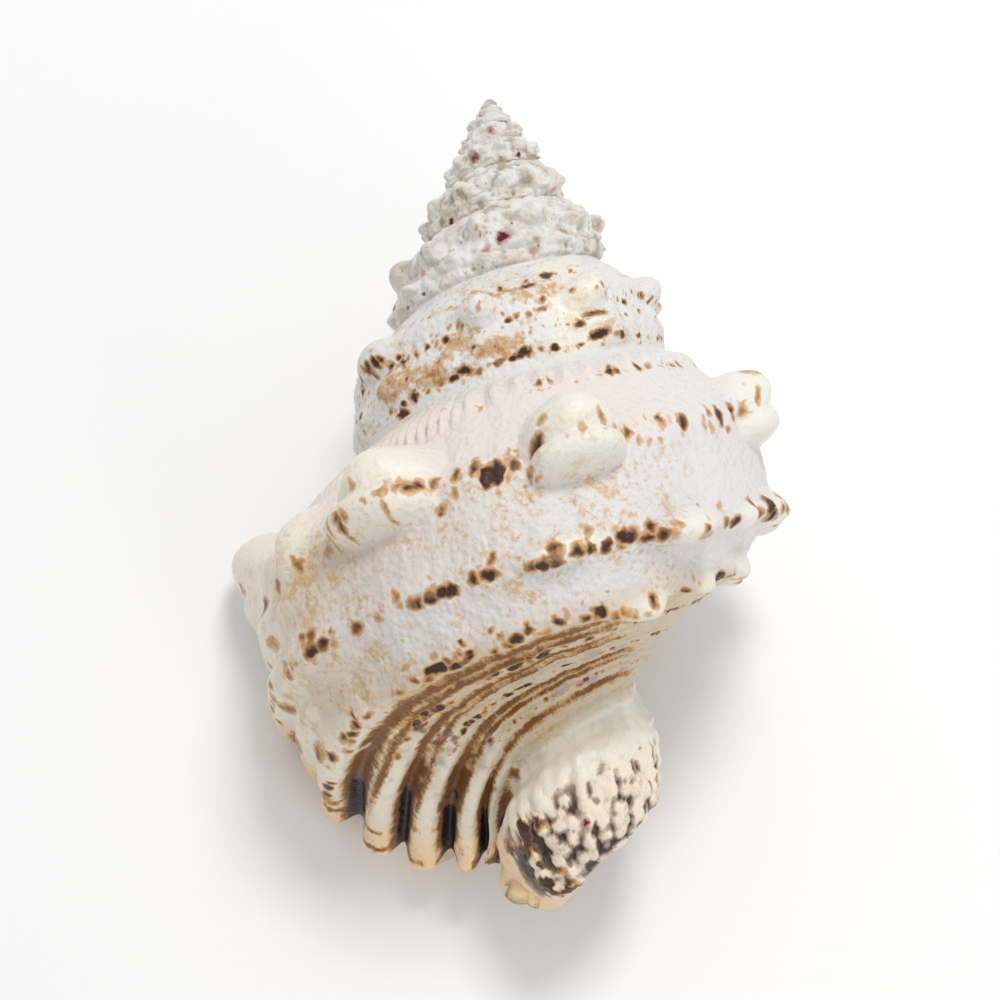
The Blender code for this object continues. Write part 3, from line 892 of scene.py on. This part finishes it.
# %% Flecks, warmth, wear and dirt
worn = smoothstep((turns_at - 2.0 + 0.35 * noise(own_at, 6.0, 41)) / 0.35) * is_outer
fleck = patch(0.03, 0.36, 0.08, 2.3, 7.2, 0.8)
fleck = np.maximum(fleck, 0.8 * patch(0.02, 0.24, 0.05, 6.0, 14.5, 0.6))
fleck = np.maximum(fleck, 0.9 * patch(1.0, 2.1, 0.1, 0.4, 4.6, 0.5))
warm = smoothstep((0.36 - turns_at + 0.08 * noise(own_at, 14.0, 43)) / 0.30) * is_outer
inside = (~is_outer).astype(float)
crust_at = crust(turns_at, outer_station, smooth_at)
hollows = np.where(turns_at > 1.5, crust_at - 0.55, relief_at - 0.35)
dirty = np.maximum(worn, 0.5 * window(station_at, 16.2, 18.3, 0.4))
dirt = smoothstep((0.05 - hollows) / 0.5) * is_outer * dirty
suture = window(station_at, -1.0, 0.12, 0.2) + window(station_at, 4.9, 5.0, 0.2)
dirt = np.maximum(dirt, 0.6 * suture * (turns_at > 1.9) * is_outer)
dirt = dirt * (1.0 - 0.9 * window(station_at, 16.0, 19.0, 0.4) * smoothstep((0.10 - turns_at) / 0.02))
base = window(station_at, 5.9, 14.2, 0.9) * smoothstep((turns_at - 0.08) / 0.09) * is_outer
violet = smoothstep(noise(own_at, 2.2, 44) * 1.6 - 0.3) * patch(0.10, 0.36, 0.05, 6.8, 12.5, 0.5)
print("worn share", round(float(worn.mean()), 3), "lining share", round(float(inside.mean()), 3))

# %% [markdown]
# A colour attribute holds four numbers at each corner, so sixteen fields fit in four attributes.

# %% Four colour attributes
def keep_fields(name, *fields):
    layer = shell.data.color_attributes.new(name, "FLOAT_COLOR", "CORNER")
    values = np.stack([np.clip(field, 0.0, 1.0) for field in fields], axis=-1)
    layer.data.foreach_set("color", values.astype(np.float32).ravel())


keep_fields("markings", brown, rust, dark, fleck)
keep_fields("grounds", lilac, cream, peach, worn)
keep_fields("others", rose, inside, dirt, warm)
keep_fields("more", pink, base, violet, spotted)
print("kept", len(shell.data.color_attributes), "colour attributes")

# %% [markdown]
# ## Shader sums as Python sums
#
# A small class wraps a socket, so that the sums in a material read as sums. Each operator adds the
# Math node that it stands for. Colours are mixed by a Mix node, because a Math node would turn them
# grey.

# %% Sockets with operators
class Value:
    """A socket that numbers and other sockets can be added to, taken from and multiplied by."""

    def __init__(self, shader, socket):
        self.shader = shader
        self.socket = socket

    def join(self, operation, other, swapped=False):
        pair = (other, self) if swapped else (self, other)
        return self.shader.node("ShaderNodeMath", {"operation": operation}, {0: pair[0], 1: pair[1]})

    def __add__(self, other):
        return self.join("ADD", other)

    def __sub__(self, other):
        return self.join("SUBTRACT", other)

    def __mul__(self, other):
        return self.join("MULTIPLY", other)

    def __rsub__(self, other):
        return self.join("SUBTRACT", other, swapped=True)

    __radd__ = __add__
    __rmul__ = __mul__

    def step(self, low, high):
        """0 below low, 1 above high and smooth between."""
        return self.shader.node("ShaderNodeMapRange", {"interpolation_type": "SMOOTHSTEP"},
                                {"Value": self, "From Min": low, "From Max": high})

    def sibling(self, output):
        """Another output of the same node."""
        return Value(self.shader, self.socket.node.outputs[output])


print("sums add Math nodes")

# %% [markdown]
# The second class holds the material. Its one method for nodes takes a node's type, the settings that
# have to come first, and the values or links of its sockets.

# %% A material with one method for its nodes
class Shader:
    """A material's node tree, and the one method that adds a node to it."""

    def __init__(self, name):
        self.material = bpy.data.materials.new(name)
        self.material.use_nodes = True
        self.tree = self.material.node_tree
        self.finish = self.tree.nodes["Principled BSDF"]

    def node(self, kind, settings, inputs, output=0):
        added = self.tree.nodes.new(kind)
        for key, value in settings.items():
            setattr(added, key, value)
        for key, value in inputs.items():
            self.feed(added.inputs[key], value)
        return Value(self, added.outputs[output])

    def feed(self, socket, value):
        if isinstance(value, Value):
            self.tree.links.new(value.socket, socket)
        else:
            socket.default_value = value

    def mix(self, share, first, second):
        """The colour first where share is 0 and second where it is 1."""
        return self.node("ShaderNodeMix", {"data_type": "RGBA"}, {0: share, 6: first, 7: second}, 2)

    def fields(self, name):
        """The four fields of a colour attribute."""
        kept = self.node("ShaderNodeAttribute", {"attribute_name": name}, {})
        parts = self.node("ShaderNodeSeparateColor", {}, {0: kept})
        return [parts.sibling(k) for k in range(3)] + [kept.sibling("Alpha")]


def colour(red, green, blue):
    return (red, green, blue, 1.0)


print("one method adds every node")

# %% [markdown]
# ## The patterns
#
# The fine patterns come from noise at three sizes. Noise on Object coordinates has the same grain
# everywhere, as pits and stains have. Noise on the UV follows the turns, as growth lines and spots do.
# A Voronoi texture on the UV parts the rows into cells, one for each spot.

# %% The material's fields and coordinates
shader = Shader("shell")
brown_at, rust_at, dark_at, fleck_at = shader.fields("markings")
lilac_at, cream_at, peach_at, worn_at = shader.fields("grounds")
rose_at, inside_at, dirt_at, warm_at = shader.fields("others")
pink_at, base_at, violet_at, spotted_at = shader.fields("more")
place_at = shader.node("ShaderNodeTexCoord", {}, {}, "Object")
wound_at = shader.node("ShaderNodeUVMap", {"uv_map": shell.data.uv_layers.active.name}, {})
print("the material reads", len(shell.data.color_attributes), "attributes and the UV")


# %% Noise for grain, streaks and growth lines
def grain(scale, detail=3.0, roughness=0.6, where=place_at):
    """Noise from 0 to 1 around 0.5, with scale features to the metre."""
    return shader.node("ShaderNodeTexNoise", {}, {"Vector": where, "Scale": scale, "Detail": detail,
                                                 "Roughness": roughness})


def stretched(along, across):
    """The turns and stations times two numbers, for noise that is longer one way."""
    return shader.node("ShaderNodeVectorMath", {"operation": "MULTIPLY"},
                       {0: wound_at, 1: (along, across, 1.0)})


broad = grain(38.0, 2.0)
medium = grain(230.0)
fine = grain(800.0, 4.0, 0.7)
streaks = grain(1.0, 4.0, 0.65, stretched(30.0, 10.0))
growth_lines = grain(1.0, 2.0, 0.6, stretched(300.0, 2.0))
print("five kinds of noise")

# %% One cell for each spot
waver = shader.node("ShaderNodeTexNoise", {}, {"Vector": place_at, "Scale": 320.0, "Detail": 2.0}, 1)
spot_grid = shader.node("ShaderNodeVectorMath", {"operation": "MULTIPLY_ADD"},
                        {0: waver, 1: (1.0, 1.0, 0.0), 2: stretched(SPOTS_PER_TURN, SPOTS_PER_STATION)})
spot_distance = shader.node("ShaderNodeTexVoronoi", {"feature": "SMOOTH_F1"},
                            {"Vector": spot_grid, "Scale": 1.0, "Smoothness": 0.30})
spot_chance = spot_distance.sibling("Color")
print("about", round(SPOTS_PER_TURN), "spots a turn in each row")

# %% [markdown]
# ## The colours
#
# The colours are laid like paint, from the ground up: first the grounds, then stains, rust and spots,
# and last the chalk, dirt and rose spots that came after the snail had finished its work. Each spot
# goes from amber at its edge to nearly black in its middle, as thin and thick pigment do.

# %% The grounds' colours
tint = shader.mix(warm_at * (0.45 + broad), colour(0.80, 0.785, 0.76), colour(0.71, 0.60, 0.44))
tint = shader.mix(base_at * 0.85, tint, colour(0.64, 0.52, 0.35))
tint = shader.mix(lilac_at * (0.8 * broad), tint, colour(0.71, 0.665, 0.66))
tint = shader.mix(pink_at * 0.8, tint, colour(0.84, 0.755, 0.69))
tint = shader.mix(cream_at * (0.35 + 0.7 * broad), tint, colour(0.91, 0.87, 0.755))
tint = shader.mix(violet_at * 0.75, tint, colour(0.42, 0.34, 0.34))
tint = shader.mix(peach_at * 0.85, tint, colour(0.93, 0.64, 0.36))
speckle = medium * 0.45 + fine * 0.55 + (broad - 0.5) * 0.30
stain = speckle.step(0.50, 0.64) * fleck_at * (1 - cream_at * 0.5)
tint = shader.mix(stain * 0.72, tint, colour(0.61, 0.36, 0.10))
print("grounds mixed")

# %% Rust, spots and dark gaps
rust_mask = rust_at + (streaks - 0.5) * 0.6 + (fine - 0.5) + (medium - 0.5) * 0.8
rust_mask = rust_mask + (growth_lines - 0.5) * 0.8
rust_mask = rust_mask * (rust_at * 4.0).step(0.1, 0.9)
tint = shader.mix(rust_mask.step(0.05, 0.50) * 0.80, tint, colour(0.56, 0.28, 0.05))
tint = shader.mix(rust_mask.step(0.34, 0.80) * 0.88, tint, colour(0.16, 0.055, 0.010))
spots = spotted_at * 1.20 + (spot_chance - 0.5) - spot_distance * 1.7 - cream_at * 0.18 + 0.15
spots = spots * (spotted_at * 4.0).step(0.0, 1.0)
patches = brown_at + (medium - 0.5) * 1.3 + (fine - 0.5) * 0.6
patches = patches * (brown_at * 5.0).step(0.0, 1.0)
edge = spots.join("MAXIMUM", patches) + (fine - 0.5) * 0.16
edge = edge * ((brown_at + spotted_at) * 5.0).step(0.0, 1.0)
tint = shader.mix(edge.step(0.0, 0.30) * 0.75, tint, colour(0.58, 0.28, 0.05))
tint = shader.mix(edge.step(0.28, 0.52) * 0.6, tint, colour(0.24, 0.08, 0.016))
tint = shader.mix(edge.step(0.42, 0.80) * 0.95, tint, colour(0.034, 0.012, 0.007))
dark_edge = dark_at + (fine - 0.5) * 0.6 + (medium - 0.5) * 0.4
dark_edge = dark_edge * (dark_at * 6.0).step(0.0, 1.0)
tint = shader.mix(dark_edge.step(0.05, 0.40) * 0.75, tint, colour(0.24, 0.13, 0.08))
tint = shader.mix(dark_edge.step(0.35, 0.80) * 0.97, tint, colour(0.020, 0.011, 0.014))
print("markings mixed")

# %% Chalk, dirt and rose spots
chalk = shader.mix(medium.step(0.38, 0.66), colour(0.88, 0.87, 0.84), colour(0.76, 0.69, 0.59))
tint = shader.mix(worn_at * (0.80 + 0.5 * (medium - 0.5)), tint, chalk)
tint = shader.mix(dirt_at * (0.2 + 1.4 * (medium - 0.3)), tint, colour(0.36, 0.26, 0.17))
specks = fine.step(0.62, 0.68) * worn_at * dirt_at.step(0.0, 0.4)
tint = shader.mix(specks * 0.9, tint, colour(0.09, 0.04, 0.02))
rose_edge = rose_at + (fine - 0.5) * 0.9
rose_edge = rose_edge * (rose_at * 6.0).step(0.0, 1.0)
tint = shader.mix(rose_edge.step(0.15, 0.55) * 0.8, tint, colour(0.58, 0.25, 0.22))
tint = shader.mix(rose_edge.step(0.50, 0.80), tint, colour(0.12, 0.008, 0.025))
print("wear mixed")

# %% [markdown]
# The inside was never worn. It is glazed, peach at the very lip, cream behind it and warmer in the
# depth, with faint lines where growth paused.

# %% The glazed inside
depth = shader.node("ShaderNodeSeparateXYZ", {}, {0: wound_at})
glaze = shader.mix(depth.step(0.0, 0.07), colour(0.90, 0.68, 0.45), colour(0.86, 0.82, 0.75))
glaze = shader.mix(depth.step(0.10, 1.10), glaze, colour(0.72, 0.57, 0.44))
glaze = shader.mix(growth_lines.step(0.45, 0.75) * 0.25, glaze, colour(0.78, 0.64, 0.50))
tint = shader.mix(inside_at, tint, glaze)
print("the shell's colours use", len(shader.tree.nodes), "nodes so far")

# %% [markdown]
# ## Grain and gloss
#
# Granules smaller than the mesh's faces are left to a Bump node. The gloss varies too: the glazed
# inside shines most, the knobs and dark gaps a little, and the old chalk not at all.

# %% Granules, gloss and the finished material
granules = shader.node("ShaderNodeTexVoronoi", {"feature": "F1"}, {"Vector": place_at, "Scale": 620.0})
outer_share = 1 - inside_at
grains = (1 - granules).step(0.25, 1.0) * outer_share * (1 - cream_at * 0.6)
relief_height = grains * 0.38 + growth_lines * 0.28 * outer_share + fine * (0.45 + worn_at * 0.8)
bump = shader.node("ShaderNodeBump", {}, {"Height": relief_height, "Strength": 0.8, "Distance": 0.0007},
                   "Normal")
gloss = 0.40 + worn_at * 0.42 - inside_at * 0.2 - cream_at * 0.08 - dark_at * 0.12 + (medium - 0.5) * 0.25
shader.feed(shader.finish.inputs["Base Color"], tint)
shader.feed(shader.finish.inputs["Roughness"], gloss)
shader.feed(shader.finish.inputs["Specular IOR Level"], 0.32)
shader.feed(shader.finish.inputs["Normal"], bump)
shell.data.materials.clear()
shell.data.materials.append(shader.material)
print("the shell's material has", len(shader.tree.nodes), "nodes")

# %% [markdown]
# ## In the frame
#
# The fine shell takes the plain solid's place. It rides on the frame's only body and fills its only
# material slot.

# %% The piece takes the solid's place
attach(shell, "root")
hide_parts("shell")
print(shell.name, "replaces the plain shell")

# %% [markdown]
# ## Floor, light and camera
#
# The shell lies on pale paper under an even sky and one broad lamp, so that its shadow stays soft
# and its whites keep their detail. The camera looks down on its back from a little to one side.

# %% The floor
PAPER_WHITE = 0.97
bpy.ops.mesh.primitive_plane_add(size=6.0)
floor = bpy.context.object
floor.name = "floor"
paper = bpy.data.materials.new("paper")
paper.use_nodes = True
paper.node_tree.nodes["Principled BSDF"].inputs["Base Color"].default_value = colour(*[PAPER_WHITE] * 3)
paper.node_tree.nodes["Principled BSDF"].inputs["Roughness"].default_value = 0.9
floor.data.materials.append(paper)
print("floor laid")

# %% The lights
SKY_STRENGTH = 0.59
KEY_WATTS = 3.5
FILL_WATTS = 0.9
world = bpy.data.worlds.new("room")
world.use_nodes = True
world.node_tree.nodes["Background"].inputs["Color"].default_value = (1.0, 1.0, 1.0, 1.0)
world.node_tree.nodes["Background"].inputs["Strength"].default_value = SKY_STRENGTH
bpy.context.scene.world = world


def soft_light(name, place, target, size, power):
    light = bpy.data.lights.new(name, "AREA")
    light.shape = "DISK"
    light.size = size
    light.energy = power
    lamp = bpy.data.objects.new(name, light)
    bpy.context.scene.collection.objects.link(lamp)
    lamp.location = place
    lamp.rotation_euler = (Vector(target) - Vector(place)).to_track_quat("-Z", "Y").to_euler()
    return lamp


soft_light("key", (0.18, 0.30, 0.85), (0.0, 0.0, 0.05), 0.28, KEY_WATTS)
soft_light("fill", (0.30, -0.62, 0.34), (0.02, -0.08, 0.03), 0.40, FILL_WATTS)
print("lights set")

# %% The camera
CAMERA_LENS = 81.0
CAMERA_PITCH = 11.8835
CAMERA_ROLL = -8.9804
CAMERA_TARGET = (-0.011874, -0.094996, 0.0)
CAMERA_DISTANCE = 0.5
tilt = Matrix.Rotation(math.radians(CAMERA_PITCH), 4, "X")
tilt = tilt @ Matrix.Rotation(math.radians(CAMERA_ROLL), 4, "Z")
lens = bpy.data.cameras.new("camera")
lens.sensor_width = 36.0
lens.lens = CAMERA_LENS
lens.clip_start = 0.01
camera = bpy.data.objects.new("camera", lens)
bpy.context.scene.collection.objects.link(camera)
camera.matrix_world = (resting @ Matrix.Translation(CAMERA_TARGET) @ tilt
                       @ Matrix.Translation((0.0, 0.0, CAMERA_DISTANCE)))
bpy.context.scene.camera = camera
bpy.context.scene.view_settings.view_transform = "Standard"
print("camera", round(1000 * CAMERA_DISTANCE), "mm away with a", CAMERA_LENS, "mm lens")
